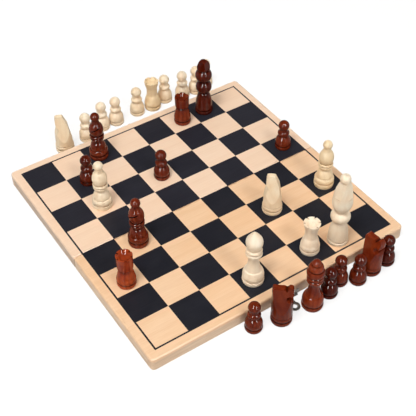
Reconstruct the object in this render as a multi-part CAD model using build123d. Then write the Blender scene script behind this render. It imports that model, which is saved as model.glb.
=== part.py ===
"""Portable chess set: a folding box whose two halves open into a board, with its chessmen.

The board lies open and flat. X runs along the seam, Y from the front half to the back half,
Z up. The origin is the middle of the seam, on the table. All sizes are in millimetres.
"""
import os
from collections import namedtuple
from math import asin, cos, sin, sqrt

from build123d import *

# Board and box
SQUARE = 29.0
SQUARES = 8
MARGIN = 9.0
BOX_HEIGHT = 13.0
PANEL_THICKNESS = 3.0
RAIL_THICKNESS = 8.0
CORNER_RADIUS = 3.6
TOP_EDGE_RADIUS = 1.7
BOTTOM_EDGE_RADIUS = 0.8
SEAM_CORNER_RADIUS = 1.0
SEAM_GAP = 0.3

# Dyed veneer squares and the black line round the field, let in flush with the panel
INLAY_DEPTH = 0.6
INLAY_CORNER_CUT = 0.2
LINE_WIDTH = 1.5

# Butt hinges let into the rims at the seam
HINGE_SPREAD = 150.0
HINGE_LENGTH = 18.0
HINGE_REACH = 6.6
LEAF_THICKNESS = 0.6
KNUCKLE_RADIUS = 0.9
HINGE_PIN_RADIUS = 0.42
HINGE_RUNNING = 0.05
KNUCKLE_GAP = 0.15
KNUCKLE_RELIEF = 0.15
HINGE_SCREW_SPREAD = 11.0

# Countersunk wood screws
SCREW_HEAD_RADIUS = 1.25
SCREW_HEAD_HEIGHT = 0.45
SCREW_SHANK_RADIUS = 0.6
HINGE_SCREW_LENGTH = 5.0
WALL_SCREW_LENGTH = 4.5

# Hasp on the front wall, catch with its knob on the back wall
LATCH_X = 1.5
HASP_PLATE_LENGTH = 24.0
HASP_PLATE_HEIGHT = 5.2
HASP_PLATE_CORNER = 2.3
HASP_PLATE_THICKNESS = 0.6
HASP_PLATE_FOOT = 1.3
HASP_AXIS_OUT = 1.2
HASP_AXIS_HEIGHT = 1.1
HASP_KNUCKLE_RADIUS = 0.9
HASP_PIN_RADIUS = 0.42
HASP_TONGUE_WIDTH = 6.0
HASP_TONGUE_THICKNESS = 0.6
HASP_RING_RADIUS = 4.5
HASP_NECK_WIDTH = 6.8
HASP_HOLE_RADIUS = 2.1
HASP_SCREW_SPREAD = 20.0
CATCH_BELOW_PANEL = 1.9
CATCH_RADIUS = 3.4
CATCH_CORNER = 2.0
CATCH_THICKNESS = 0.4
CATCH_LENGTH = 15.0
CATCH_STEM_RADIUS = 1.45
CATCH_KNOB_RADIUS = 1.8
CATCH_KNOB_REACH = 2.4
CATCH_SCREW_SPREAD = 10.6

# Every turned foot is this much narrower at the very bottom
FOOT_EASE = 0.5

# Knight's head, cut from a turned blank with two flat sides that close in upwards
KNIGHT_NECK = 9.0
KNIGHT_BLANK_RADIUS = 8.6
KNIGHT_FLAT_START = 14.5
KNIGHT_TOP_THICKNESS = 4.6

# Rook's bowl and the notches in its rim
ROOK_BOWL_DEPTH = 2.6
ROOK_BOWL_RADIUS = 5.9
ROOK_BOWL_FLOOR_RADIUS = 3.2
ROOK_NOTCH_WIDTH = 1.6
ROOK_NOTCH_DEPTH = 0.9
ROOK_NOTCHES = 6

# Saw cut across the bishop's mitre
BISHOP_CUT_HEIGHT = 34.8
BISHOP_CUT_WIDTH = 1.1
BISHOP_CUT_DEPTH = 2.3
BISHOP_CUT_TILT = 24.0

# Slanting flats on the king's crown: their distance from the axis, low and high
CROWN_SIDES = 4
LIGHT_CROWN_LOW = 52.0
LIGHT_CROWN_LOW_REACH = 7.2
LIGHT_CROWN_HIGH = 66.3
LIGHT_CROWN_HIGH_REACH = 3.4
DARK_CROWN_LOW = 50.2
DARK_CROWN_LOW_REACH = 5.3
DARK_CROWN_HIGH = 58.2
DARK_CROWN_HIGH_REACH = 3.2

FIELD = SQUARE * SQUARES
BOARD = FIELD + 2 * MARGIN
HALF_DEPTH = BOARD / 2
SEAM_FACE = SEAM_GAP / 2
RIM_TO_PANEL = BOX_HEIGHT - PANEL_THICKNESS
SURFACE = BOX_HEIGHT
HINGE_PLACES = (-HINGE_SPREAD / 2, HINGE_SPREAD / 2)
SCREW_SIDES = (-1, 1)

# One stretch of a turned outline: how far it rises, the radius it ends at, and how far its
# side swells out (or, if negative, hollows in) from the straight line between its ends
Turn = namedtuple("Turn", "rise radius swell")

# One stretch of a knight's outline seen from its side: how far before the axis and how high it
# ends, and how far it bows out (or, if negative, in) from the straight line
Bend = namedtuple("Bend", "forward height bow")

# One chessman: its form, its foot's centre in squares from the field's left front corner,
# the way it faces in degrees from +X, and whether it stands on the board or on the table
Man = namedtuple("Man", "form file rank facing on_board")


def block(low, high):
    """Box between two opposite corners."""
    size = [b - a for a, b in zip(low, high)]
    middle = [(a + b) / 2 for a, b in zip(low, high)]
    return Pos(*middle) * Box(*size)


def behind_seam(solid):
    """What of a solid belongs to the back half, short of the gap at the seam."""
    return solid & block((-BOARD, SEAM_FACE, -BOARD), (BOARD, BOARD, BOARD))


def half_outline():
    """Outline of the back half seen from above, with its two outer corners rounded."""
    outline = Pos(0, (SEAM_FACE + HALF_DEPTH) / 2) * Rectangle(BOARD, HALF_DEPTH - SEAM_FACE)
    return fillet(outline.vertices().group_by(Axis.Y)[-1], CORNER_RADIUS)


def away_from_seam(edges):
    """The edges that don't lie in the seam's face."""
    return [edge for edge in edges if (edge @ 0.5).Y > CORNER_RADIUS / 2]


def ease_seam_corners(solid):
    """Round the two upright edges where the outer walls meet the seam."""
    upright = solid.edges().filter_by(Axis.Z)
    corners = [edge for edge in upright if edge.center().Y < SEAM_FACE + SEAM_CORNER_RADIUS]
    return fillet(corners, SEAM_CORNER_RADIUS)


def panel_blank():
    """Playing panel of the back half, before the squares are let in."""
    panel = Pos(0, 0, RIM_TO_PANEL) * extrude(half_outline(), PANEL_THICKNESS)
    panel = ease_seam_corners(panel)
    top = panel.faces().sort_by(Axis.Z)[-1]
    return fillet(away_from_seam(top.edges()), TOP_EDGE_RADIUS)


def rail_frame():
    """The four rails of the back half as one closed frame under the panel."""
    frame = ease_seam_corners(extrude(half_outline(), RIM_TO_PANEL))
    bottom = frame.faces().sort_by(Axis.Z)[0]
    frame = fillet(away_from_seam(bottom.edges()), BOTTOM_EDGE_RADIUS)
    inside = BOARD / 2 - RAIL_THICKNESS
    return frame - block(
        (-inside, RAIL_THICKNESS, -RIM_TO_PANEL),
        (inside, HALF_DEPTH - RAIL_THICKNESS, 2 * RIM_TO_PANEL),
    )


def cut_rails(frame):
    """Saw the frame at its butt joints: the end rails stand between the long ones."""
    reach = BOARD
    inner, outer = RAIL_THICKNESS, HALF_DEPTH - RAIL_THICKNESS
    return {
        "outer_rail": frame & block((-reach, outer, -reach), (reach, HALF_DEPTH, reach)),
        "seam_rail": frame & block((-reach, -inner, -reach), (reach, inner, reach)),
        "left_rail": frame & block((-reach, inner, -reach), (0, outer, reach)),
        "right_rail": frame & block((0, inner, -reach), (reach, outer, reach)),
    }


def mirrored(solid):
    """The same solid on the front half."""
    return mirror(solid, about=Plane.XZ)


def inlay(sketch):
    """A sketch on the field made into veneer, flush with the playing surface."""
    return Pos(0, 0, SURFACE - INLAY_DEPTH) * extrude(sketch, INLAY_DEPTH)


def dark_squares(first):
    """Dark squares of the back half, from this file of its first rank on, corners cut a hair."""
    tile = Rectangle(SQUARE, SQUARE)
    tile = inlay(chamfer(tile.vertices(), INLAY_CORNER_CUT))
    places = [
        ((file + 0.5) * SQUARE - FIELD / 2, (rank + 0.5) * SQUARE)
        for rank in range(SQUARES // 2)
        for file in range(SQUARES)
        if (file + rank) % 2 == first
    ]
    return [behind_seam(Pos(x, y) * tile) for x, y in places]


def border_line():
    """Black line round the back half of the field, open at the seam."""
    outer = FIELD / 2 + LINE_WIDTH
    edge = Pos(0, outer / 2) * Rectangle(2 * outer, outer)
    field = Pos(0, FIELD / 4) * Rectangle(FIELD, FIELD / 2)
    return behind_seam(inlay(edge - field))


def cut_all(solid, tools):
    """The solid with each tool taken out of it."""
    for tool in tools:
        solid = solid - tool
    return solid


def solids_of(shape):
    """The separate solids of a shape, as a list."""
    return list(shape.solids())


def screw(length, head_height):
    """Countersunk screw, head up at the origin and shank down."""
    head = Pos(0, 0, -head_height / 2) * Cone(SCREW_SHANK_RADIUS, SCREW_HEAD_RADIUS, head_height)
    shank = Pos(0, 0, -(head_height + length) / 2) * Cylinder(
        SCREW_SHANK_RADIUS, length - head_height
    )
    return head + shank


def slotted(body):
    """The screw with a straight slot across its head."""
    slot_width = SCREW_SHANK_RADIUS / 2
    slot_depth = SCREW_HEAD_HEIGHT / 2
    slot = Pos(0, 0, -slot_depth / 2) * Box(4 * SCREW_HEAD_RADIUS, slot_width, slot_depth)
    return body - slot


def hinge_screw_places(hinge_x):
    """Where the two screws of one leaf stand on the back rim."""
    y = (KNUCKLE_RADIUS + HINGE_REACH) / 2
    return [(hinge_x + side * HINGE_SCREW_SPREAD / 2, y) for side in SCREW_SIDES]


def rod(x_low, x_high, radius, y=0.0, z=0.0):
    """Round bar along X."""
    middle = Pos((x_low + x_high) / 2, y, z)
    return middle * Rot(0, 90, 0) * Cylinder(radius, x_high - x_low)


def knuckle_spans(hinge_x):
    """The three knuckles of a hinge along X: the middle one belongs to the front leaf."""
    third = HINGE_LENGTH / 3
    start = hinge_x - HINGE_LENGTH / 2
    gap = KNUCKLE_GAP / 2
    return [
        (start, start + third - gap),
        (start + third + gap, start + 2 * third - gap),
        (start + 2 * third + gap, start + HINGE_LENGTH),
    ]


def leaf(hinge_x, spans, screw_places):
    """Leaf of the back half with knuckles on these spans of the pin."""
    plate = block(
        (hinge_x - HINGE_LENGTH / 2, KNUCKLE_RADIUS + KNUCKLE_RELIEF, 0),
        (hinge_x + HINGE_LENGTH / 2, HINGE_REACH, LEAF_THICKNESS),
    )
    for low, high in spans:
        plate += block((low, 0, 0), (high, HINGE_REACH / 2, LEAF_THICKNESS))
        plate += rod(low, high, KNUCKLE_RADIUS)
    plate -= rod(
        hinge_x - HINGE_LENGTH, hinge_x + HINGE_LENGTH, HINGE_PIN_RADIUS + HINGE_RUNNING
    )
    sinks = [Pos(x, y) * Rot(180, 0, 0) * screw(HINGE_SCREW_LENGTH, SCREW_HEAD_HEIGHT)
             for x, y in screw_places]
    return cut_all(plate, sinks)


def hinge_recess(hinge_x):
    """What the hinge takes out of the back seam rail's rim."""
    ends = HINGE_LENGTH / 2 + KNUCKLE_RELIEF
    seat = block(
        (hinge_x - ends, -KNUCKLE_RADIUS, -KNUCKLE_RADIUS),
        (hinge_x + ends, HINGE_REACH, LEAF_THICKNESS),
    )
    return seat + rod(hinge_x - ends, hinge_x + ends, KNUCKLE_RADIUS + KNUCKLE_RELIEF)


def hinge_screws(hinge_x):
    """The two screws of a leaf of the back half, heads flush with the rim."""
    return [
        Pos(x, y) * Rot(180, 0, 0) * slotted(screw(HINGE_SCREW_LENGTH, SCREW_HEAD_HEIGHT))
        for x, y in hinge_screw_places(hinge_x)
    ]


def hinge_screw_holes(hinge_x):
    """Holes for those screws in the rail."""
    return [
        Pos(x, y) * Rot(180, 0, 0) * screw(HINGE_SCREW_LENGTH, SCREW_HEAD_HEIGHT)
        for x, y in hinge_screw_places(hinge_x)
    ]


def wall_screw_places(spread, height):
    """Where two screws stand in a wall, on either side of the latch."""
    return [(LATCH_X + side * spread / 2, height) for side in SCREW_SIDES]


def wall_screws(places, face_y, body):
    """Screws driven in through a plate whose outer face is at face_y on the front wall."""
    return [Pos(x, face_y, z) * Rot(90, 0, 0) * body for x, z in places]


def rounded_plate(length, height, thickness):
    """Plate with rounded ends, lying in XZ with its back face at Y = 0, growing to -Y."""
    outline = RectangleRounded(length, height, HASP_PLATE_CORNER)
    return extrude(Plane.XZ * outline, thickness)


HASP_SCREW_Z = HASP_PLATE_FOOT + HASP_PLATE_HEIGHT / 2
HASP_AXIS_Y = -HALF_DEPTH - HASP_AXIS_OUT
HASP_MIDDLE = (LATCH_X - HASP_TONGUE_WIDTH / 2, LATCH_X + HASP_TONGUE_WIDTH / 2)
CATCH_Z = RIM_TO_PANEL - CATCH_BELOW_PANEL
HASP_REACH = CATCH_Z + HASP_AXIS_HEIGHT


def hasp_plate():
    """Plate on the front wall, rolled at its foot into the two outer knuckles."""
    plate = Pos(LATCH_X, -HALF_DEPTH, HASP_SCREW_Z) * rounded_plate(
        HASP_PLATE_LENGTH, HASP_PLATE_HEIGHT, HASP_PLATE_THICKNESS
    )
    reach = HASP_PLATE_LENGTH / 2 - HASP_PLATE_HEIGHT / 2
    for low, high in (
        (LATCH_X - reach, HASP_MIDDLE[0] - KNUCKLE_GAP),
        (HASP_MIDDLE[1] + KNUCKLE_GAP, LATCH_X + reach),
    ):
        plate += block(
            (low, HASP_AXIS_Y, HASP_AXIS_HEIGHT),
            (high, -HALF_DEPTH, HASP_PLATE_FOOT + HASP_PLATE_THICKNESS),
        )
        plate += rod(low, high, HASP_KNUCKLE_RADIUS, HASP_AXIS_Y, HASP_AXIS_HEIGHT)
    reach = HASP_PLATE_LENGTH
    plate -= rod(
        LATCH_X - reach, LATCH_X + reach, HASP_PIN_RADIUS, HASP_AXIS_Y, HASP_AXIS_HEIGHT
    )
    plate -= rod(
        HASP_MIDDLE[0] - KNUCKLE_GAP,
        HASP_MIDDLE[1] + KNUCKLE_GAP,
        HASP_KNUCKLE_RADIUS + KNUCKLE_RELIEF,
        HASP_AXIS_Y,
        HASP_AXIS_HEIGHT,
    )
    face_y = -HALF_DEPTH - HASP_PLATE_THICKNESS
    places = wall_screw_places(HASP_SCREW_SPREAD, HASP_SCREW_Z)
    return cut_all(plate, wall_screws(places, face_y, screw(WALL_SCREW_LENGTH, SCREW_HEAD_HEIGHT)))


def hasp_pin():
    """Pin through the plate's knuckles and the tongue's."""
    reach = HASP_PLATE_LENGTH / 2 - HASP_PLATE_HEIGHT / 2
    return rod(
        LATCH_X - reach, LATCH_X + reach, HASP_PIN_RADIUS, HASP_AXIS_Y, HASP_AXIS_HEIGHT
    )


def hasp_tongue():
    """Swinging tongue that ends in a ring, lying out on the table."""
    low, high = HASP_MIDDLE
    ring_y = HASP_AXIS_Y - HASP_REACH
    neck = HASP_NECK_WIDTH / 2
    outline = make_face(
        Polyline(
            (low, HASP_AXIS_Y),
            (high, HASP_AXIS_Y),
            (LATCH_X + neck, ring_y + neck),
            (LATCH_X - neck, ring_y + neck),
            close=True,
        )
    )
    outline += Pos(LATCH_X, ring_y) * Circle(HASP_RING_RADIUS)
    outline -= Pos(LATCH_X, ring_y) * Circle(HASP_HOLE_RADIUS)
    flat = HASP_AXIS_HEIGHT - HASP_TONGUE_THICKNESS / 2
    tongue = Pos(0, 0, flat) * extrude(outline, HASP_TONGUE_THICKNESS)
    tongue += rod(low, high, HASP_KNUCKLE_RADIUS, HASP_AXIS_Y, HASP_AXIS_HEIGHT)
    bore = HASP_PIN_RADIUS + HINGE_RUNNING
    return tongue - rod(low - bore, high + bore, bore, HASP_AXIS_Y, HASP_AXIS_HEIGHT)


def catch_plate():
    """Small plate with a knob on the back wall, which the tongue's ring snaps over."""
    outline = RectangleRounded(CATCH_LENGTH, 2 * CATCH_RADIUS, CATCH_CORNER)
    plate = extrude(Plane.XZ * outline, CATCH_THICKNESS)
    stem = Rot(90, 0, 0) * Cylinder(
        CATCH_STEM_RADIUS, CATCH_KNOB_REACH, align=(Align.CENTER, Align.CENTER, Align.MIN)
    )
    head = Pos(0, -CATCH_KNOB_REACH, 0) * Sphere(CATCH_KNOB_RADIUS)
    head &= block(
        (-CATCH_RADIUS, -CATCH_KNOB_REACH - CATCH_KNOB_RADIUS / 2, -CATCH_RADIUS),
        (CATCH_RADIUS, -CATCH_KNOB_REACH + CATCH_KNOB_RADIUS / 2, CATCH_RADIUS),
    )
    catch = Pos(LATCH_X, -HALF_DEPTH, CATCH_Z) * (plate + stem + head)
    face_y = -HALF_DEPTH - CATCH_THICKNESS
    places = wall_screw_places(CATCH_SCREW_SPREAD, CATCH_Z)
    cutter = screw(WALL_SCREW_LENGTH, SCREW_HEAD_HEIGHT)
    return mirrored(cut_all(catch, wall_screws(places, face_y, cutter)))


def bead(radius, neck, height):
    """A round ring that swells from a neck and comes back to it."""
    return [Turn(height, neck, radius - neck)]


def groove(radius, depth, height):
    """A V groove that ends at this radius."""
    return [Turn(height / 2, radius - depth, 0), Turn(height / 2, radius, 0)]


def dome(radius, rise):
    """A round cap that closes the outline over this radius."""
    sphere = (radius**2 + rise**2) / (2 * rise)
    half_chord = sqrt(radius**2 + rise**2) / 2
    return [Turn(rise, 0, sphere - sqrt(sphere**2 - half_chord**2))]


def ball(radius, neck):
    """A ball on a neck, as its lower part and its dome."""
    lift = asin(sqrt(1 - (neck / radius) ** 2))
    lower = Turn(radius * sin(lift), radius, radius * (1 - cos(lift / 2)))
    return [lower, *dome(radius, radius)]


def outward_arc(here, there, swell):
    """Arc or, without a swell, line between two points, bulging to the right of its way."""
    if not swell:
        return Line(here, there)
    run = there - here
    outward = Vector(run.Y, -run.X).normalized()
    return ThreePointArc(here, (here + there) / 2 + outward * swell, there)


def turned(turns, start_radius):
    """Solid turned on the lathe from its bottom up."""
    here = Vector(start_radius, 0)
    outline = [Line((0, 0), here)]
    for turn in turns:
        there = Vector(turn.radius, here.Y + turn.rise)
        outline.append(outward_arc(here, there, turn.swell))
        here = there
    if here.X:
        outline.append(Line(here, (0, here.Y)))
    outline.append(Line((0, here.Y), (0, 0)))
    face = make_face(Curve() + outline)
    return revolve(Plane.XZ * face, Axis.Z)


def man_turned(turns):
    """A chessman turned on the lathe, its foot a little eased at the bottom."""
    return turned(turns, turns[0].radius - FOOT_EASE)


def height_of(turns):
    """Full height of a turned piece."""
    return sum(turn.rise for turn in turns)


PAWN = [
    Turn(3.5, 7.3, 0.35),
    *groove(6.9, 0.8, 1.0),
    Turn(8.9, 4.4, 1.2),
    Turn(0.9, 4.2, -0.1),
    *bead(5.4, 4.1, 4.9),
    Turn(2.4, 3.8, -0.2),
    *ball(5.1, 3.8),
]

LIGHT_ROOK = [
    Turn(3.7, 8.2, 0.35),
    *groove(7.8, 0.9, 1.1),
    Turn(4.6, 7.4, 0.5),
    Turn(6.7, 5.3, 0.4),
    Turn(9.0, 5.3, -0.05),
    Turn(1.2, 6.0, 0),
    Turn(5.6, 7.1, 0.1),
]

DARK_ROOK_BODY = [
    Turn(3.7, 8.0, 0.35),
    *groove(7.7, 0.9, 1.1),
    Turn(4.6, 7.4, 0.5),
    Turn(7.9, 5.0, 0.4),
    *bead(6.1, 5.0, 1.6),
    Turn(0.9, 6.6, 0.1),
]
SHORT_ROOK = [*DARK_ROOK_BODY, Turn(9.6, 6.8, 0)]
TALL_ROOK = [*DARK_ROOK_BODY, Turn(13.2, 6.9, 0)]

KNIGHT_FOOT = [
    Turn(3.6, 8.7, 0.35),
    *groove(8.2, 0.9, 1.1),
    Turn(3.6, 8.2, 0.55),
    *groove(7.9, 0.6, 0.7),
    Turn(3.0, 5.0, 0.6),
]

# From the back of the neck over the crest, ear, nose and mouth to the chest
DARK_KNIGHT = [
    Bend(-8.6, 36.0, 0),
    Bend(-6.2, 38.4, 0.8),
    Bend(0.7, 38.5, -0.4),
    Bend(2.7, 36.8, 0),
    Bend(4.5, 39.6, -0.2),
    Bend(7.2, 39.2, 0.9),
    Bend(8.2, 36.6, 0.3),
    Bend(8.6, 32.8, 0),
    Bend(7.6, 32.0, 0.2),
    Bend(6.6, 27.2, -4.3),
    Bend(8.4, 22.6, 0.5),
    Bend(8.6, 16.0, 0),
]

LIGHT_KNIGHT = [
    Bend(-8.0, 12.0, 0),
    Bend(-5.2, 29.0, -0.3),
    Bend(-2.0, 38.4, 0),
    Bend(0.2, 40.0, 0.5),
    Bend(4.2, 39.9, 0.2),
    Bend(5.6, 37.8, 0.5),
    Bend(5.9, 32.4, 0.3),
    Bend(4.3, 29.2, 0.2),
    Bend(4.9, 25.4, -0.7),
    Bend(7.6, 18.5, 0.4),
    Bend(8.0, 13.0, 0),
]

MITRE_FOOT_RADIUS = 5.2
MITRE = Turn(12.9, 3.7, 2.1)
BISHOP = [
    Turn(4.4, 8.8, 0.35),
    *groove(8.4, 0.9, 1.2),
    Turn(4.5, 7.9, 0.6),
    Turn(0.4, 7.3, 0),
    Turn(7.6, 4.9, 0.6),
    Turn(3.0, 5.2, -0.3),
    *bead(6.4, 5.2, 2.6),
    *bead(6.6, MITRE_FOOT_RADIUS, 2.6),
    MITRE,
    Turn(3.4, 3.0, 0.1),
    *ball(4.2, 3.0),
]

QUEEN_BODY = [
    Turn(3.9, 8.9, 0.35),
    *groove(8.5, 1.0, 1.3),
    Turn(8.2, 7.3, 0.8),
    Turn(0.5, 6.5, 0),
    Turn(10.4, 4.4, -0.4),
]

LIGHT_QUEEN = [
    *QUEEN_BODY,
    Turn(5.6, 5.4, -0.15),
    *bead(6.8, 5.4, 3.9),
    *bead(6.6, 5.4, 3.6),
    Turn(2.4, 6.0, -0.1),
    Turn(5.4, 6.9, 0.25),
    Turn(4.2, 5.1, 0.35),
    Turn(4.2, 1.9, 0.2),
    *dome(1.9, 1.4),
]

DARK_QUEEN = [
    *QUEEN_BODY,
    Turn(4.8, 5.3, -0.15),
    *bead(6.8, 5.3, 3.7),
    *bead(6.8, 5.3, 3.8),
    Turn(1.4, 7.0, 0.3),
    Turn(4.6, 6.6, 0.5),
    Turn(0.6, 5.3, 0),
    Turn(0.6, 6.0, 0),
    Turn(4.3, 4.8, 0.5),
    Turn(0.6, 3.4, 0),
    Turn(0.4, 3.9, 0),
    *dome(3.9, 3.9),
]

LIGHT_KING_BODY = [
    Turn(3.8, 8.9, 0.35),
    *groove(8.4, 1.0, 1.3),
    Turn(17.4, 5.5, 0.85),
    Turn(1.6, 4.9, -0.1),
    *bead(8.3, 4.9, 10.4),
    Turn(2.2, 4.9, -0.1),
]

LIGHT_KING = [
    *LIGHT_KING_BODY,
    Turn(6.2, 8.2, 0.6),
    Turn(6.2, 8.0, 0.3),
    Turn(17.2, 5.6, 0.3),
    Turn(0.8, 3.5, 0),
    *ball(4.5, 3.5),
]

DARK_KING = [
    Turn(3.8, 8.5, 0.35),
    *groove(8.1, 0.9, 1.2),
    Turn(17.0, 5.5, 0.8),
    Turn(1.4, 4.8, -0.1),
    *bead(7.7, 4.8, 12.0),
    Turn(1.0, 5.0, -0.1),
    *bead(8.0, 5.0, 12.4),
    Turn(0.8, 6.0, 0.1),
    Turn(5.6, 5.8, 0.4),
    Turn(3.0, 3.4, 0.5),
]


def pawn():
    """Pawn with a ball head on a collar."""
    return man_turned(PAWN)


def rook(turns):
    """Rook with a shallow bowl in its head and notches in the rim."""
    top = height_of(turns)
    body = man_turned(turns) - Pos(0, 0, top - ROOK_BOWL_DEPTH / 2) * Cone(
        ROOK_BOWL_FLOOR_RADIUS, ROOK_BOWL_RADIUS, ROOK_BOWL_DEPTH
    )
    across = 2 * max(turn.radius for turn in turns)
    for index in range(ROOK_NOTCHES // 2):
        slot = Pos(0, 0, top - ROOK_NOTCH_DEPTH / 2) * Box(
            across, ROOK_NOTCH_WIDTH, ROOK_NOTCH_DEPTH
        )
        body -= Rot(0, 0, 360 / ROOK_NOTCHES * index) * slot
    return body


def light_rook():
    """Light rook, flaring upwards from a slim neck."""
    return rook(LIGHT_ROOK)


def short_rook():
    """Dark rook with a plain cup for its head."""
    return rook(SHORT_ROOK)


def tall_rook():
    """Dark rook with a taller cup."""
    return rook(TALL_ROOK)


def bishop():
    """Bishop with a slanting saw cut on the side that it faces."""
    body = man_turned(BISHOP)
    foot_width = 2 * BISHOP[0].radius
    reach = (MITRE_FOOT_RADIUS + MITRE.radius) / 2 + MITRE.swell
    cut = Box(2 * BISHOP_CUT_DEPTH, foot_width, BISHOP_CUT_WIDTH)
    return body - Pos(reach, 0, BISHOP_CUT_HEIGHT) * Rot(BISHOP_CUT_TILT, 0, 0) * cut


def light_queen():
    """Light queen with a pointed dome for her cap."""
    return man_turned(LIGHT_QUEEN)


def dark_queen():
    """Dark queen with a cap that steps in to a knob."""
    return man_turned(DARK_QUEEN)


def with_flats(body, low, low_reach, high, high_reach):
    """Plane slanting flats round the crown between two heights."""
    lean = (low_reach - high_reach) / (high - low)
    far = high
    wedge = make_face(
        Polyline(
            (low_reach, low),
            (high_reach - lean * far, high + far),
            (far, high + far),
            (far, low),
            close=True,
        )
    )
    for index in range(CROWN_SIDES):
        cutter = extrude(Plane.XZ * wedge, far, both=True)
        body -= Rot(0, 0, 360 / CROWN_SIDES * index) * cutter
    return body


def light_king():
    """Light king: a long crown with flats and a ball on top."""
    crowned, finial = LIGHT_KING[:-2], LIGHT_KING[-2:]
    body = with_flats(
        man_turned(crowned),
        LIGHT_CROWN_LOW,
        LIGHT_CROWN_LOW_REACH,
        LIGHT_CROWN_HIGH,
        LIGHT_CROWN_HIGH_REACH,
    )
    return body + Pos(0, 0, height_of(crowned)) * turned(finial, crowned[-1].radius)


def dark_king():
    """Dark king: a short blunt crown with flats."""
    return with_flats(
        man_turned(DARK_KING),
        DARK_CROWN_LOW,
        DARK_CROWN_LOW_REACH,
        DARK_CROWN_HIGH,
        DARK_CROWN_HIGH_REACH,
    )


def knight(bends):
    """Knight: a horse's head sawn from a turned blank, facing +X, on a turned foot."""
    start = Vector(bends[0].forward, KNIGHT_NECK)
    here = start
    outline = []
    for bend in bends:
        there = Vector(bend.forward, bend.height)
        outline.append(outward_arc(there, here, bend.bow))
        here = there
    throat = Vector(bends[-1].forward, KNIGHT_NECK)
    outline += [Line(here, throat), Line(throat, start)]
    head = extrude(Plane.XZ * make_face(Curve() + outline), KNIGHT_BLANK_RADIUS, both=True)
    top = max(bend.height for bend in bends) + FOOT_EASE
    wide, narrow = KNIGHT_BLANK_RADIUS, KNIGHT_TOP_THICKNESS / 2
    front_view = make_face(
        Polyline(
            (-wide, KNIGHT_NECK),
            (wide, KNIGHT_NECK),
            (wide, KNIGHT_FLAT_START),
            (narrow, top),
            (-narrow, top),
            (-wide, KNIGHT_FLAT_START),
            close=True,
        )
    )
    head &= extrude(Plane.YZ * front_view, 2 * KNIGHT_BLANK_RADIUS, both=True)
    blank = Cylinder(KNIGHT_BLANK_RADIUS, top, align=(Align.CENTER, Align.CENTER, Align.MIN))
    return man_turned(KNIGHT_FOOT) + (head & blank)


def dark_knight():
    """Dark knight, as broad as its blank right to the top."""
    return knight(DARK_KNIGHT)


def light_knight():
    """Light knight, narrowing upwards."""
    return knight(LIGHT_KNIGHT)


CHESSMEN = {
    "dark_king": Man(dark_king, 6.45, 7.50, 24, True),
    "dark_queen": Man(dark_queen, 4.505, -0.86, 0, False),
    "dark_bishop_1": Man(bishop, 2.406, 7.449, -116, True),
    "dark_bishop_2": Man(bishop, 1.54, 3.49, -140, True),
    "dark_knight_1": Man(dark_knight, 3.49, -0.79, -41, False),
    "dark_knight_2": Man(dark_knight, 6.685, -0.78, -84, False),
    "dark_rook_1": Man(short_rook, 5.54, 7.42, 20, True),
    "dark_rook_2": Man(tall_rook, 0.48, 2.33, 10, True),
    "dark_pawn_1": Man(pawn, 2.698, -0.604, 0, False),
    "dark_pawn_2": Man(pawn, 5.14, -0.80, 0, False),
    "dark_pawn_3": Man(pawn, 5.65, -0.62, 0, False),
    "dark_pawn_4": Man(pawn, 6.12, -0.88, 0, False),
    "dark_pawn_5": Man(pawn, 7.264, -0.78, 0, False),
    "dark_pawn_6": Man(pawn, 7.53, 4.53, 0, True),
    "dark_pawn_7": Man(pawn, 3.56, 5.50, 0, True),
    "dark_pawn_8": Man(pawn, 1.54, 6.57, 0, True),
    "light_king": Man(light_king, 6.334, 0.337, 12, True),
    "light_queen": Man(light_queen, 3.44, 0.48, 0, True),
    "light_bishop_1": Man(bishop, 1.415, 5.41, 60, True),
    "light_bishop_2": Man(bishop, 7.51, 2.42, 80, True),
    "light_knight_1": Man(light_knight, 5.52, 2.40, 141, True),
    "light_knight_2": Man(light_knight, 1.85, 8.84, 159, False),
    "light_rook_1": Man(light_rook, 5.437, 0.489, 30, True),
    "light_rook_2": Man(light_rook, 5.39, 9.13, -113, False),
    "light_pawn_1": Man(pawn, 2.70, 8.91, 0, False),
    "light_pawn_2": Man(pawn, 3.41, 9.13, 0, False),
    "light_pawn_3": Man(pawn, 3.938, 9.107, 0, False),
    "light_pawn_4": Man(pawn, 4.79, 9.16, 0, False),
    "light_pawn_5": Man(pawn, 5.95, 9.24, 0, False),
    "light_pawn_6": Man(pawn, 6.57, 9.07, 0, False),
    "light_pawn_7": Man(pawn, 7.12, 9.05, 0, False),
    "light_pawn_8": Man(pawn, 7.63, 9.21, 0, False),
}


def place(man, form):
    """Stand a form on its spot on the board or the table."""
    x = man.file * SQUARE - FIELD / 2
    y = man.rank * SQUARE - FIELD / 2
    z = SURFACE if man.on_board else 0
    return Pos(x, y, z) * Rot(0, 0, man.facing) * form


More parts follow.
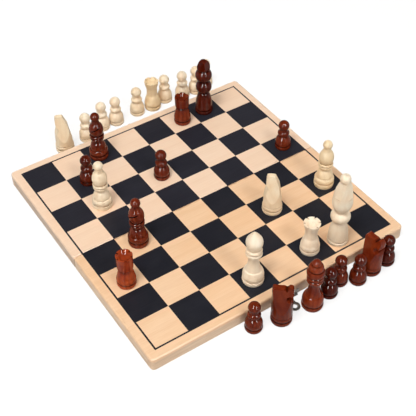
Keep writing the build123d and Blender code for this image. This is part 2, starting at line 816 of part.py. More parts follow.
def board_nodes():
    """Every piece of the two half boxes."""
    nodes = {}
    recesses = [hinge_recess(x) for x in HINGE_PLACES]
    rim_holes = [hole for x in HINGE_PLACES for hole in hinge_screw_holes(x)]
    rails = cut_rails(rail_frame())
    rails["seam_rail"] = cut_all(rails["seam_rail"], recesses + rim_holes)
    line = border_line()
    panel = panel_blank()
    for first, half, placed in ((0, "front", mirrored), (1, "back", lambda solid: solid)):
        tiles = [placed(tile) for tile in dark_squares(first)]
        nodes[f"{half}_dark_squares"] = tiles
        nodes[f"{half}_border_line"] = [placed(line)]
        nodes[f"{half}_panel"] = [cut_all(placed(panel), tiles + [placed(line)])]
        for name, rail in rails.items():
            nodes[f"{half}_{name}"] = [placed(rail)]
    hasp_holes = wall_screws(
        wall_screw_places(HASP_SCREW_SPREAD, HASP_SCREW_Z),
        -HALF_DEPTH - HASP_PLATE_THICKNESS,
        screw(WALL_SCREW_LENGTH, SCREW_HEAD_HEIGHT),
    )
    catch_holes = wall_screws(
        wall_screw_places(CATCH_SCREW_SPREAD, CATCH_Z),
        -HALF_DEPTH - CATCH_THICKNESS,
        screw(WALL_SCREW_LENGTH, SCREW_HEAD_HEIGHT),
    )
    nodes["front_outer_rail"] = [cut_all(nodes["front_outer_rail"][0], hasp_holes)]
    nodes["back_outer_rail"] = [
        cut_all(nodes["back_outer_rail"][0], [mirrored(hole) for hole in catch_holes])
    ]
    return nodes


def hinge_nodes():
    """The two hinges at the seam: leaves, pins and screws."""
    back_leaves, front_leaves, pins, screws = [], [], [], []
    for x in HINGE_PLACES:
        spans = knuckle_spans(x)
        places = hinge_screw_places(x)
        back_leaves.append(leaf(x, [spans[0], spans[2]], places))
        front_leaves.append(mirrored(leaf(x, [spans[1]], places)))
        pins.append(rod(x - HINGE_LENGTH / 2, x + HINGE_LENGTH / 2, HINGE_PIN_RADIUS))
        screws += hinge_screws(x)
    return {
        "back_hinge_leaves": back_leaves,
        "front_hinge_leaves": front_leaves,
        "hinge_pins": pins,
        "back_hinge_screws": screws,
        "front_hinge_screws": [mirrored(body) for body in screws],
    }


def latch_nodes():
    """The hasp, its plate, pin and screws, and the catch on the other half."""
    body = slotted(screw(WALL_SCREW_LENGTH, SCREW_HEAD_HEIGHT))
    hasp_places = wall_screw_places(HASP_SCREW_SPREAD, HASP_SCREW_Z)
    catch_places = wall_screw_places(CATCH_SCREW_SPREAD, CATCH_Z)
    catch_bodies = wall_screws(catch_places, -HALF_DEPTH - CATCH_THICKNESS, body)
    return {
        "hasp_plate": [hasp_plate()],
        "hasp_pin": [hasp_pin()],
        "hasp_tongue": [hasp_tongue()],
        "hasp_screws": wall_screws(hasp_places, -HALF_DEPTH - HASP_PLATE_THICKNESS, body),
        "catch_plate": [catch_plate()],
        "catch_screws": [mirrored(catch_body) for catch_body in catch_bodies],
    }


def chessman_nodes():
    """Every chessman on its spot; each form is turned once and then placed."""
    forms = {form: form() for form in {man.form for man in CHESSMEN.values()}}
    return {name: [place(man, forms[man.form])] for name, man in CHESSMEN.items()}


def main():
    os.makedirs("parts", exist_ok=True)
    nodes = {**board_nodes(), **hinge_nodes(), **latch_nodes(), **chessman_nodes()}
    for name, pieces in nodes.items():
        solids = [solid for piece in pieces for solid in solids_of(piece)]
        shape = solids[0] if len(solids) == 1 else Compound(children=solids)
        shape.label = name
        export_step(shape, f"parts/{name}.step")


main()
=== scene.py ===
from math import radians

import bpy
from mathutils import Matrix, Vector


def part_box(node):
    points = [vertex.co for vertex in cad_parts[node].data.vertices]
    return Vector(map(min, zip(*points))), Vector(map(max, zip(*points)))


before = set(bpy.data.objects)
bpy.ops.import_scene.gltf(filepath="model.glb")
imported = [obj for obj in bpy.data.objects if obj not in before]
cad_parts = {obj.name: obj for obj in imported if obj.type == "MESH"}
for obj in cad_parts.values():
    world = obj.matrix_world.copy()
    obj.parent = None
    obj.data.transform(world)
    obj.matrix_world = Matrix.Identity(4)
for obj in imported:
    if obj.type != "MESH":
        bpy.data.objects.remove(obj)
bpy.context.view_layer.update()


# The two panels are the board's top: pale birch sheet, sanded, sealed with a satin varnish.
# Its bare wood is the light squares and the border. The back half was cut from a pinker,
# paler sheet than the front one, and the grain of both runs along the seam.

def srgb(red, green, blue, alpha=1.0):
    """A colour written 0 to 255, as a shader reads it."""
    def linear(level):
        share = level / 255
        return share / 12.92 if share <= 0.04045 else ((share + 0.055) / 1.055) ** 2.4
    return (linear(red), linear(green), linear(blue), alpha)


def add(tree, kind, inputs=(), **settings):
    """One node of a tree, with its settings, and a value or a link for each input named."""
    made = tree.nodes.new(kind)
    for name, value in settings.items():
        setattr(made, name, value)
    for name, value in dict(inputs).items():
        if isinstance(value, bpy.types.NodeSocket):
            tree.links.new(value, made.inputs[name])
        else:
            made.inputs[name].default_value = value
    return made


def new_group(name, inputs, outputs):
    """An empty shader node group with named sockets, and its input and output nodes."""
    tree = bpy.data.node_groups.new(name, "ShaderNodeTree")
    kinds = {float: "NodeSocketFloat", tuple: "NodeSocketColor", Vector: "NodeSocketVector"}
    for label, value in inputs.items():
        socket = tree.interface.new_socket(label, in_out="INPUT", socket_type=kinds[type(value)])
        socket.default_value = value
    for label, kind in outputs.items():
        tree.interface.new_socket(label, in_out="OUTPUT", socket_type=kinds[kind])
    return tree, tree.nodes.new("NodeGroupInput"), tree.nodes.new("NodeGroupOutput")


def use(tree, group, inputs=()):
    """A group placed in a material, with its own values."""
    made = tree.nodes.new("ShaderNodeGroup")
    made.node_tree = group
    for name, value in dict(inputs).items():
        if isinstance(value, bpy.types.NodeSocket):
            tree.links.new(value, made.inputs[name])
        else:
            made.inputs[name].default_value = value
    return made


def mixed(tree, share, low, high, blend="MIX"):
    """The colour between two, by a share from 0 to 1."""
    made = tree.nodes.new("ShaderNodeMix")
    made.data_type = "RGBA"
    made.blend_type = blend
    for index, value in ((0, share), (6, low), (7, high)):
        if isinstance(value, bpy.types.NodeSocket):
            tree.links.new(value, made.inputs[index])
        else:
            made.inputs[index].default_value = value
    return made.outputs[2]


def ranged(tree, value, low, high, to_low=0.0, to_high=1.0):
    """A value carried from one range to another and held there."""
    limits = {"Value": value, "From Min": low, "From Max": high,
              "To Min": to_low, "To Max": to_high}
    return add(tree, "ShaderNodeMapRange", limits).outputs[0]


def sum_of(tree, first, second, operation="ADD"):
    """Two values joined by one sum."""
    return add(tree, "ShaderNodeMath", {0: first, 1: second}, operation=operation).outputs[0]


def board_grain_group():
    """Grain of sliced wood whose fibres run along the X of the vector that it is given."""
    tree, given, out = new_group(
        "sliced wood",
        {
            "Vector": Vector(), "Wood": srgb(240, 200, 160), "Early Wood": srgb(220, 170, 120),
            "Pale Wood": srgb(250, 225, 190), "Fibre": 0.5, "Cloud": 0.5, "Ring": 0.5,
        },
        {"Color": tuple, "Fibre": float, "Height": float},
    )
    fibre_way = add(tree, "ShaderNodeVectorMath",
                    {0: given.outputs["Vector"], 1: (0.035, 1.0, 1.0)}, operation="MULTIPLY")
    cloud_way = add(tree, "ShaderNodeVectorMath",
                    {0: given.outputs["Vector"], 1: (0.34, 1.0, 1.0)}, operation="MULTIPLY")
    fibre = add(tree, "ShaderNodeTexNoise",
                {"Vector": fibre_way.outputs[0], "Scale": 1300.0, "Detail": 5.0, "Roughness": 0.62})
    cloud = add(tree, "ShaderNodeTexNoise",
                {"Vector": cloud_way.outputs[0], "Scale": 42.0, "Detail": 4.0, "Roughness": 0.55})
    ring = add(tree, "ShaderNodeTexWave",
               {"Vector": fibre_way.outputs[0], "Scale": 24.0, "Distortion": 9.0, "Detail": 3.0,
                "Detail Scale": 0.7, "Detail Roughness": 0.55},
               wave_type="BANDS", bands_direction="Y", wave_profile="SAW")
    fibre_share = ranged(tree, fibre.outputs["Fac"], 0.36, 0.68)
    cloud_share = ranged(tree, cloud.outputs["Fac"], 0.30, 0.72)
    ring_share = ranged(tree, ring.outputs["Fac"], 0.55, 1.0)
    ring_amount = sum_of(tree, ring_share, given.outputs["Ring"], "MULTIPLY")
    fibre_amount = sum_of(tree, fibre_share, given.outputs["Fibre"], "MULTIPLY")
    cloud_amount = sum_of(tree, cloud_share, given.outputs["Cloud"], "MULTIPLY")
    colour = mixed(tree, cloud_amount, given.outputs["Wood"], given.outputs["Pale Wood"])
    colour = mixed(tree, ring_amount, colour, given.outputs["Early Wood"])
    colour = mixed(tree, fibre_amount, colour, given.outputs["Early Wood"])
    height = sum_of(tree, fibre_share, sum_of(tree, ring_share, 0.5, "MULTIPLY"))
    tree.links.new(colour, out.inputs["Color"])
    tree.links.new(fibre_share, out.inputs["Fibre"])
    tree.links.new(height, out.inputs["Height"])
    return tree


def worn_edge_group():
    """A mask of the edges and corners that hands and the table have rubbed."""
    tree, given, out = new_group(
        "rubbed edges",
        {"Vector": Vector(), "Reach": 0.001, "Patches": 90.0},
        {"Mask": float},
    )
    rounded = add(tree, "ShaderNodeBevel", {"Radius": given.outputs["Reach"]}, samples=6)
    true_way = add(tree, "ShaderNodeNewGeometry")
    along = add(tree, "ShaderNodeVectorMath",
                {0: rounded.outputs[0], 1: true_way.outputs["Normal"]}, operation="DOT_PRODUCT")
    bend = ranged(tree, along.outputs["Value"], 0.995, 0.86)
    patches = add(tree, "ShaderNodeTexNoise",
                  {"Vector": given.outputs["Vector"], "Scale": given.outputs["Patches"],
                   "Detail": 4.0, "Roughness": 0.6})
    patch_share = ranged(tree, patches.outputs["Fac"], 0.38, 0.66)
    tree.links.new(sum_of(tree, bend, patch_share, "MULTIPLY"), out.inputs["Mask"])
    return tree


def handled_group():
    """Roughness of a varnish that hands have polished in some places and dulled in others."""
    tree, given, out = new_group(
        "handled varnish",
        {"Vector": Vector(), "Least": 0.3, "Most": 0.5, "Patches": 40.0},
        {"Roughness": float},
    )
    patches = add(tree, "ShaderNodeTexNoise",
                  {"Vector": given.outputs["Vector"], "Scale": given.outputs["Patches"],
                   "Detail": 5.0, "Roughness": 0.6})
    level = add(tree, "ShaderNodeMapRange",
                {"Value": patches.outputs["Fac"], "From Min": 0.3, "From Max": 0.7,
                 "To Min": given.outputs["Least"], "To Max": given.outputs["Most"]})
    tree.links.new(level.outputs[0], out.inputs["Roughness"])
    return tree


SLICED_WOOD = board_grain_group()
RUBBED_EDGES = worn_edge_group()
HANDLED_VARNISH = handled_group()


def new_material(name):
    """A material with its surface shader, and the place of each point in the object."""
    made = bpy.data.materials.new(name)
    made.use_nodes = True
    tree = made.node_tree
    surface = tree.nodes["Principled BSDF"]
    place = tree.nodes.new("ShaderNodeTexCoord")
    return made, tree, surface, place.outputs["Object"]


def finish_with(obj, material):
    """The CAD piece gets this finish in place of its plain one."""
    for slot in obj.material_slots:
        slot.material = material


def varnished_wood(name, wood, early, pale, turn=0.0, offset=(0.0, 0.0, 0.0), fibre=0.2,
                   cloud=0.6, ring=0.12, least=0.34, most=0.5):
    """Sliced wood under satin varnish, its fibres turned by an angle from X."""
    made, tree, surface, place = new_material(name)
    way = add(tree, "ShaderNodeMapping",
              {"Vector": place, "Rotation": (0.0, 0.0, radians(turn)), "Location": offset})
    grain = use(tree, SLICED_WOOD,
                {"Vector": way.outputs[0], "Wood": wood, "Early Wood": early, "Pale Wood": pale,
                 "Fibre": fibre, "Cloud": cloud, "Ring": ring})
    edges = use(tree, RUBBED_EDGES, {"Vector": place, "Reach": 0.0012, "Patches": 70.0})
    colour = mixed(tree, sum_of(tree, edges.outputs[0], 0.3, "MULTIPLY"),
                   grain.outputs["Color"], pale)
    handled = use(tree, HANDLED_VARNISH, {"Vector": place, "Least": least, "Most": most})
    bump = add(tree, "ShaderNodeBump",
               {"Height": grain.outputs["Height"], "Strength": 0.06, "Distance": 0.0004})
    tree.links.new(colour, surface.inputs["Base Color"])
    tree.links.new(handled.outputs[0], surface.inputs["Roughness"])
    tree.links.new(bump.outputs[0], surface.inputs["Normal"])
    surface.inputs["Specular IOR Level"].default_value = 0.4
    surface.inputs["Coat Weight"].default_value = 0.12
    surface.inputs["Coat Roughness"].default_value = 0.3
    return made


front_sheet = varnished_wood(
    "front_sheet", srgb(245, 201, 157), srgb(216, 158, 106), srgb(252, 218, 182),
    offset=(0.31, 0.07, 0.0),
)
back_sheet = varnished_wood(
    "back_sheet", srgb(249, 214, 182), srgb(228, 182, 144), srgb(253, 226, 200),
    offset=(0.83, 0.54, 0.0),
)
finish_with(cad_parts["front_panel"], front_sheet)
finish_with(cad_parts["back_panel"], back_sheet)


# The rails are four strips of pine under each panel, glued at butt joints, sanded and varnished
# with it. They are a little greyer and streakier than the sheet, and the grain of each runs
# along its own length.

PALE_PINE = (srgb(238, 204, 170), srgb(192, 146, 102), srgb(247, 222, 194))
GREY_PINE = (srgb(212, 184, 160), srgb(166, 130, 100), srgb(230, 206, 182))
RAIL_WOODS = {
    "front_outer_rail": (PALE_PINE, 0.0), "front_seam_rail": (PALE_PINE, 0.0),
    "front_left_rail": (PALE_PINE, 90.0), "front_right_rail": (PALE_PINE, 90.0),
    "back_outer_rail": (PALE_PINE, 0.0), "back_seam_rail": (GREY_PINE, 0.0),
    "back_left_rail": (GREY_PINE, 90.0), "back_right_rail": (PALE_PINE, 90.0),
}
for index, (rail, (wood, turn)) in enumerate(RAIL_WOODS.items()):
    strip = varnished_wood(
        f"{rail}_strip", *wood, turn=turn, offset=(0.17 * index, 0.43 * index, 0.29 * index),
        fibre=0.42, cloud=0.7, ring=0.35, least=0.42, most=0.6,
    )
    finish_with(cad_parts[rail], strip)


# The dark squares and the line round them are black dye printed on veneer and varnished over:
# a blue black with a silky sheen, through which the pores show as faint streaks.

def dyed_veneer(name, dye, faded):
    """Black veneer with fine pores along X."""
    made, tree, surface, place = new_material(name)
    grain = use(tree, SLICED_WOOD,
                {"Vector": place, "Wood": dye, "Early Wood": faded, "Pale Wood": faded,
                 "Fibre": 0.3, "Cloud": 0.45, "Ring": 0.1})
    handled = use(tree, HANDLED_VARNISH,
                  {"Vector": place, "Least": 0.36, "Most": 0.5, "Patches": 60.0})
    bump = add(tree, "ShaderNodeBump",
               {"Height": grain.outputs["Height"], "Strength": 0.08, "Distance": 0.0004})
    tree.links.new(grain.outputs["Color"], surface.inputs["Base Color"])
    tree.links.new(handled.outputs[0], surface.inputs["Roughness"])
    tree.links.new(bump.outputs[0], surface.inputs["Normal"])
    surface.inputs["Specular IOR Level"].default_value = 0.25
    return made


front_dye = dyed_veneer("front_black_veneer", srgb(23, 23, 31), srgb(37, 37, 46))
back_dye = dyed_veneer("back_black_veneer", srgb(29, 28, 37), srgb(46, 45, 54))
for half, dye in (("front", front_dye), ("back", back_dye)):
    finish_with(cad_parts[f"{half}_dark_squares"], dye)
    finish_with(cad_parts[f"{half}_border_line"], dye)


# The small fittings are pressed sheet and wire. The hinges at the seam are brass; the hasp with
# its ring and the catch are nickelled steel. All are dulled by handling, bright on their edges.

def plated_metal(name, plate, tarnish, bright):
    """Thin plating with tarnish in patches and bare edges."""
    made, tree, surface, place = new_material(name)
    patches = add(tree, "ShaderNodeTexNoise",
                  {"Vector": place, "Scale": 420.0, "Detail": 5.0, "Roughness": 0.65})
    dulled = ranged(tree, patches.outputs["Fac"], 0.4, 0.68)
    edges = use(tree, RUBBED_EDGES, {"Vector": place, "Reach": 0.0004, "Patches": 300.0})
    colour = mixed(tree, dulled, plate, tarnish)
    colour = mixed(tree, edges.outputs[0], colour, bright)
    handled = use(tree, HANDLED_VARNISH,
                  {"Vector": place, "Least": 0.2, "Most": 0.42, "Patches": 350.0})
    brushed = add(tree, "ShaderNodeMapping", {"Vector": place, "Scale": (0.06, 1.0, 1.0)})
    lines = add(tree, "ShaderNodeTexNoise",
                {"Vector": brushed.outputs[0], "Scale": 5200.0, "Detail": 2.0})
    bump = add(tree, "ShaderNodeBump",
               {"Height": lines.outputs["Fac"], "Strength": 0.12, "Distance": 0.0001})
    tree.links.new(colour, surface.inputs["Base Color"])
    tree.links.new(handled.outputs[0], surface.inputs["Roughness"])
    tree.links.new(bump.outputs[0], surface.inputs["Normal"])
    surface.inputs["Metallic"].default_value = 1.0
    return made


hinge_brass = plated_metal(
    "hinge_brass", srgb(196, 164, 96), srgb(150, 118, 66), srgb(232, 208, 150)
)
latch_plate = plated_metal(
    "latch_plate", srgb(186, 182, 176), srgb(132, 126, 118), srgb(232, 230, 226)
)
for node in ("back_hinge_leaves", "front_hinge_leaves", "hinge_pins", "back_hinge_screws",
             "front_hinge_screws"):
    finish_with(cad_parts[node], hinge_brass)
for node in ("hasp_plate", "hasp_pin", "hasp_tongue", "hasp_screws", "catch_plate", "catch_screws"):
    finish_with(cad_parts[node], latch_plate)


# The men are turned from upright sticks of a fine-grained hardwood, and the knights' heads are
# sawn, so the tree's rings show as flames where the tool cut across them. The dark side is
# stained red brown, no two pieces alike, and dipped in a hard gloss lacquer.

def turned_grain_group():
    """Grain of a stick that stands along Z, its rings round a tree's heart off to one side."""
    tree, given, out = new_group(
        "turned wood",
        {
            "Vector": Vector(), "Wood": srgb(120, 50, 30), "Early Wood": srgb(150, 70, 40),
            "Late Wood": srgb(70, 25, 15), "Ring": 0.5, "Fibre": 0.5, "Rings per Metre": 420.0,
        },
        {"Color": tuple, "Grain": float, "Lathe Marks": float},
    )
    round_way = add(tree, "ShaderNodeVectorMath",
                    {0: given.outputs["Vector"], 1: (0.03, 0.03, 1.0)}, operation="MULTIPLY")
    marks = add(tree, "ShaderNodeTexNoise",
                {"Vector": round_way.outputs[0], "Scale": 1500.0, "Detail": 2.0})
    sway = add(tree, "ShaderNodeTexNoise",
               {"Vector": given.outputs["Vector"], "Scale": 34.0, "Detail": 2.0})
    swayed = add(tree, "ShaderNodeVectorMath",
                 {0: sway.outputs["Color"], 1: (0.012, 0.012, 0.0)}, operation="MULTIPLY")
    bent = add(tree, "ShaderNodeVectorMath",
               {0: given.outputs["Vector"], 1: swayed.outputs[0]}, operation="ADD")
    flat = add(tree, "ShaderNodeVectorMath",
               {0: bent.outputs[0], 1: (1.0, 1.0, 0.06)}, operation="MULTIPLY")
    heart = add(tree, "ShaderNodeVectorMath", {0: flat.outputs[0]}, operation="LENGTH")
    turns = sum_of(tree, heart.outputs["Value"], given.outputs["Rings per Metre"], "MULTIPLY")
    ring = add(tree, "ShaderNodeMath", {0: turns, 1: 1.0}, operation="PINGPONG").outputs[0]
    fibre_way = add(tree, "ShaderNodeVectorMath",
                    {0: given.outputs["Vector"], 1: (1.0, 1.0, 0.05)}, operation="MULTIPLY")
    fibre = add(tree, "ShaderNodeTexNoise",
                {"Vector": fibre_way.outputs[0], "Scale": 2300.0, "Detail": 4.0, "Roughness": 0.6})
    fibre_share = ranged(tree, fibre.outputs["Fac"], 0.4, 0.66)
    late = sum_of(tree, ranged(tree, ring, 0.45, 0.95), given.outputs["Ring"], "MULTIPLY")
    pores = sum_of(tree, fibre_share, given.outputs["Fibre"], "MULTIPLY")
    cloud = add(tree, "ShaderNodeTexNoise",
                {"Vector": given.outputs["Vector"], "Scale": 70.0, "Detail": 3.0})
    cloud_share = ranged(tree, cloud.outputs["Fac"], 0.36, 0.64)
    colour = mixed(tree, cloud_share, given.outputs["Wood"], given.outputs["Early Wood"])
    colour = mixed(tree, late, colour, given.outputs["Late Wood"])
    colour = mixed(tree, pores, colour, given.outputs["Late Wood"])
    tree.links.new(colour, out.inputs["Color"])
    tree.links.new(fibre_share, out.inputs["Grain"])
    tree.links.new(marks.outputs["Fac"], out.inputs["Lathe Marks"])
    return tree


def groove_shade_and_dirt_group():
    """A mask of the grooves and hollows, for painted shade there along with the stain, wax and dust
    that settle in them.
    """
    tree, given, out = new_group(
        "groove shade and dirt", {"Reach": 0.002, "Least": 0.5, "Most": 0.9}, {"Mask": float},
    )
    openness = add(tree, "ShaderNodeAmbientOcclusion", {"Distance": given.outputs["Reach"]},
                   samples=8, only_local=True)
    closed = add(tree, "ShaderNodeMapRange",
                 {"Value": openness.outputs["AO"], "From Min": given.outputs["Most"],
                  "From Max": given.outputs["Least"], "To Min": 0.0, "To Max": 1.0})
    tree.links.new(closed.outputs[0], out.inputs["Mask"])
    return tree


TURNED_WOOD = turned_grain_group()
GROOVE_SHADE_AND_DIRT = groove_shade_and_dirt_group()


def foot_middle(node):
    """Middle of the square that a man's foot covers, on whatever it stands on."""
    low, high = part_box(node)
    return Vector(((low.x + high.x) / 2, (low.y + high.y) / 2, low.z))


def stick_place(tree, place, node, lean):
    """The place of a point in the stick a man was turned from, its heart off to one side."""
    middle = foot_middle(node)
    moved = add(tree, "ShaderNodeMapping",
                {"Vector": place, "Location": (lean[0] - middle.x, lean[1] - middle.y, -middle.z)})
    return moved.outputs[0]


def lacquered_man(node, tone, lean):
    """Dark man: stained wood under gloss lacquer. Tone 0 is the darkest stain, 1 the reddest."""
    made, tree, surface, place = new_material(f"{node}_lacquer")
    stick = stick_place(tree, place, node, lean)
    wood = Vector(srgb(40, 2, 1)).lerp(Vector(srgb(146, 50, 22)), tone)
    early = Vector(srgb(66, 8, 3)).lerp(Vector(srgb(182, 76, 34)), tone)
    late = Vector(srgb(30, 2, 1)).lerp(Vector(srgb(96, 24, 8)), tone)
    grain = use(tree, TURNED_WOOD,
                {"Vector": stick, "Wood": wood, "Early Wood": early, "Late Wood": late,
                 "Ring": 0.26, "Fibre": 0.2, "Rings per Metre": 520.0})
    edges = use(tree, RUBBED_EDGES, {"Vector": stick, "Reach": 0.0006, "Patches": 160.0})
    colour = mixed(tree, sum_of(tree, edges.outputs[0], 0.5, "MULTIPLY"),
                   grain.outputs["Color"], early)
    # Painted shade with settled stain and dust: the grooves and hollows are darkened towards near
    # black.
    grooves = use(tree, GROOVE_SHADE_AND_DIRT, {"Reach": 0.003, "Least": 0.45, "Most": 0.96})
    colour = mixed(tree, sum_of(tree, grooves.outputs[0], 0.92, "MULTIPLY"), colour,
                   srgb(22, 2, 1))
    handled = use(tree, HANDLED_VARNISH,
                  {"Vector": stick, "Least": 0.3, "Most": 0.45, "Patches": 120.0})
    ripple = add(tree, "ShaderNodeTexNoise", {"Vector": stick, "Scale": 260.0, "Detail": 2.0})
    bump = add(tree, "ShaderNodeBump",
               {"Height": ripple.outputs["Fac"], "Strength": 0.25, "Distance": 0.0006})
    tree.links.new(colour, surface.inputs["Base Color"])
    tree.links.new(handled.outputs[0], surface.inputs["Roughness"])
    tree.links.new(bump.outputs[0], surface.inputs["Normal"])
    surface.inputs["Specular IOR Level"].default_value = 0.0
    surface.inputs["Coat Weight"].default_value = 1.0
    surface.inputs["Coat IOR"].default_value = 1.25
    surface.inputs["Coat Roughness"].default_value = 0.05
    return made


DARK_TONES = {
    "king": 0.12, "queen": 0.52, "bishop_1": 0.28, "bishop_2": 0.36, "knight_1": 0.36,
    "knight_2": 0.5, "rook_1": 0.42, "rook_2": 0.92, "pawn_1": 0.32, "pawn_2": 0.1,
    "pawn_3": 0.28, "pawn_4": 0.24, "pawn_5": 0.14, "pawn_6": 0.34, "pawn_7": 0.3, "pawn_8": 0.18,
}
for index, (man, tone) in enumerate(DARK_TONES.items()):
    node = f"dark_{man}"
    lean = (0.012 + 0.003 * (index % 4), -0.014 + 0.004 * (index % 5))
    finish_with(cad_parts[node], lacquered_man(node, tone, lean))


# The light side is the same turned hardwood left bare: creamy, with faint rings, rubbed with
# wax, so it shines softly and not in points.

def waxed_man(node, tone, lean):
    """Light man: bare wood under wax. Tone 0 is the palest wood, 1 the yellowest."""
    made, tree, surface, place = new_material(f"{node}_wax")
    stick = stick_place(tree, place, node, lean)
    wood = Vector(srgb(251, 228, 198)).lerp(Vector(srgb(241, 207, 153)), tone)
    early = Vector(srgb(254, 240, 217)).lerp(Vector(srgb(250, 226, 182)), tone)
    late = Vector(srgb(232, 202, 164)).lerp(Vector(srgb(218, 178, 124)), tone)
    grain = use(tree, TURNED_WOOD,
                {"Vector": stick, "Wood": wood, "Early Wood": early, "Late Wood": late,
                 "Ring": 0.16, "Fibre": 0.14, "Rings per Metre": 460.0})
    edges = use(tree, RUBBED_EDGES, {"Vector": stick, "Reach": 0.0006, "Patches": 160.0})
    colour = mixed(tree, sum_of(tree, edges.outputs[0], 0.3, "MULTIPLY"),
                   grain.outputs["Color"], early)
    # Painted shade with settled wax and dust: the grooves and hollows are darkened towards brown.
    grooves = use(tree, GROOVE_SHADE_AND_DIRT, {"Reach": 0.0025, "Least": 0.4, "Most": 0.94})
    colour = mixed(tree, sum_of(tree, grooves.outputs[0], 0.75, "MULTIPLY"), colour,
                   srgb(164, 124, 80))
    handled = use(tree, HANDLED_VARNISH,
                  {"Vector": stick, "Least": 0.36, "Most": 0.5, "Patches": 120.0})
    height = sum_of(tree, grain.outputs["Grain"],
                    sum_of(tree, grain.outputs["Lathe Marks"], 3.0, "MULTIPLY"))
    bump = add(tree, "ShaderNodeBump", {"Height": height, "Strength": 0.05, "Distance": 0.0004})
    tree.links.new(colour, surface.inputs["Base Color"])
    tree.links.new(handled.outputs[0], surface.inputs["Roughness"])
    tree.links.new(bump.outputs[0], surface.inputs["Normal"])
    surface.inputs["Specular IOR Level"].default_value = 0.22
    return made


LIGHT_TONES = {
    "king": 0.12, "queen": 0.08, "bishop_1": 0.3, "bishop_2": 0.75, "knight_1": 0.4,
    "knight_2": 0.45, "rook_1": 0.05, "rook_2": 0.8, "pawn_1": 0.25, "pawn_2": 0.15,
    "pawn_3": 0.25, "pawn_4": 0.45, "pawn_5": 0.35, "pawn_6": 0.2, "pawn_7": 0.3, "pawn_8": 0.4,
}
for index, (man, tone) in enumerate(LIGHT_TONES.items()):
    node = f"light_{man}"
    lean = (-0.011 - 0.003 * (index % 4), 0.013 - 0.004 * (index % 5))
    finish_with(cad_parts[node], waxed_man(node, tone, lean))


# The studio: a white table without an edge in a soft white room, with two soft lamps and two
# tall strips that show only in the gloss. The table keeps the shadows, and is half clear to the
# camera, so that the half of the box that folds under it still shows.

TABLE_HALF = 6.0
TABLE_GLOW = 0.44
TABLE_MIRRORED = 0.25
TABLE_CLEARNESS = 0.45
ROOM_LIGHT = 0.45
ROOM_OVERHEAD = 0.12
ROOM_WHITE = 1.0

table_mesh = bpy.data.meshes.new("table")
table_mesh.from_pydata(
    [(x * TABLE_HALF, y * TABLE_HALF, 0.0) for x, y in ((-1, -1), (1, -1), (1, 1), (-1, 1))],
    [], [(0, 1, 2, 3)],
)
table = bpy.data.objects.new("table", table_mesh)
bpy.context.scene.collection.objects.link(table)
table_paint, table_tree, table_surface, _ = new_material("table_paint")
seen = add(table_tree, "ShaderNodeLightPath")
mirrored_share = sum_of(table_tree, seen.outputs["Is Glossy Ray"], TABLE_MIRRORED,
                        "MULTIPLY")
seen_or_mirrored = sum_of(table_tree, seen.outputs["Is Camera Ray"], mirrored_share, "MAXIMUM")
table_surface.inputs["Base Color"].default_value = srgb(208, 207, 205)
table_surface.inputs["Roughness"].default_value = 0.9
table_surface.inputs["Specular IOR Level"].default_value = 0.0
glow = add(table_tree, "ShaderNodeEmission", {"Color": (1.0, 1.0, 1.0, 1.0)})
table_tree.links.new(
    sum_of(table_tree, seen_or_mirrored, TABLE_GLOW, "MULTIPLY"), glow.inputs["Strength"]
)
lit_table = add(table_tree, "ShaderNodeAddShader",
                {0: table_surface.outputs[0], 1: glow.outputs[0]})
clear = add(table_tree, "ShaderNodeBsdfTransparent")
clear_share = sum_of(table_tree, seen.outputs["Is Camera Ray"], TABLE_CLEARNESS, "MULTIPLY")
both = add(table_tree, "ShaderNodeMixShader",
           {0: clear_share, 1: lit_table.outputs[0], 2: clear.outputs[0]})
table_out = table_tree.nodes["Material Output"]
table_tree.links.new(both.outputs[0], table_out.inputs["Surface"])
table_mesh.materials.append(table_paint)

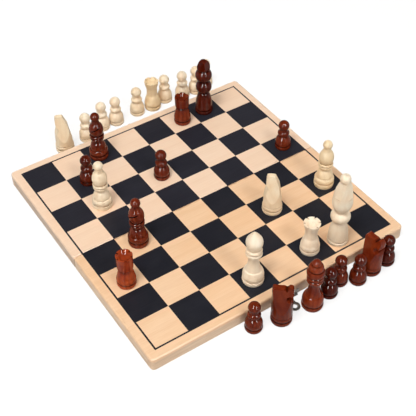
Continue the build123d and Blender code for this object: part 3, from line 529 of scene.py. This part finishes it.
room = bpy.data.worlds.new("room")
room.use_nodes = True
room_tree = room.node_tree
room_light = room_tree.nodes["Background"]
room_seen = add(room_tree, "ShaderNodeLightPath")
room_place = add(room_tree, "ShaderNodeTexCoord")
room_height = add(room_tree, "ShaderNodeSeparateXYZ", {0: room_place.outputs["Generated"]})
mirrored_room = ranged(room_tree, room_height.outputs["Z"], 0.12, 0.42,
                       ROOM_WHITE, ROOM_OVERHEAD)
through = sum_of(room_tree, room_seen.outputs["Is Glossy Ray"],
                 room_seen.outputs["Is Transmission Ray"], "MAXIMUM")
lighting = add(room_tree, "ShaderNodeMix",
               {"Factor": through, "A": ROOM_LIGHT, "B": mirrored_room})
strength = add(room_tree, "ShaderNodeMix",
               {"Factor": room_seen.outputs["Is Camera Ray"], "A": lighting.outputs[0],
                "B": ROOM_WHITE})
room_light.inputs["Color"].default_value = (1.0, 1.0, 1.0, 1.0)
room_tree.links.new(strength.outputs[0], room_light.inputs["Strength"])
bpy.context.scene.world = room


def lamp(name, place, wide, high, power, only_in_gloss=False):
    """A soft lamp aimed at the board's middle, which may show in the gloss and light nothing."""
    data = bpy.data.lights.new(name, "AREA")
    data.shape = "RECTANGLE"
    data.size = wide
    data.size_y = high
    data.energy = power
    made = bpy.data.objects.new(name, data)
    made.location = place
    made.visible_diffuse = not only_in_gloss
    made.rotation_euler = (-Vector(place)).to_track_quat("-Z", "Y").to_euler()
    bpy.context.scene.collection.objects.link(made)


lamp("broad_lamp", (-0.75, -0.3, 1.85), 0.55, 0.55, 20.5)
lamp("camera_lamp", (0.1, -1.5, 1.7), 0.35, 0.35, 9.5)
lamp("left_strip", (-1.45, -0.85, 1.2), 0.2, 1.6, 85.0, only_in_gloss=True)
lamp("right_strip", (0.15, -1.65, 1.15), 0.16, 1.5, 55.0, only_in_gloss=True)


# The camera stands in front of the board, to its left, and looks down on it. It is level but
# for a slight roll.

CAMERA_PLACE = (-0.2977, -0.4673, 0.5521)
CAMERA_HEADING = -33.2036
CAMERA_DROP = 44.8527
CAMERA_ROLL = -0.5862
CAMERA_LENS = 75.98

camera_data = bpy.data.cameras.new("camera")
camera_data.lens = CAMERA_LENS
camera_data.sensor_width = 36.0
camera = bpy.data.objects.new("camera", camera_data)
camera.matrix_world = (
    Matrix.Translation(CAMERA_PLACE)
    @ Matrix.Rotation(radians(CAMERA_HEADING), 4, "Z")
    @ Matrix.Rotation(radians(90.0 - CAMERA_DROP), 4, "X")
    @ Matrix.Rotation(radians(CAMERA_ROLL), 4, "Z")
)
bpy.context.scene.collection.objects.link(camera)
bpy.context.scene.camera = camera

bpy.context.scene.view_settings.view_transform = "Standard"

bpy.context.view_layer.update()
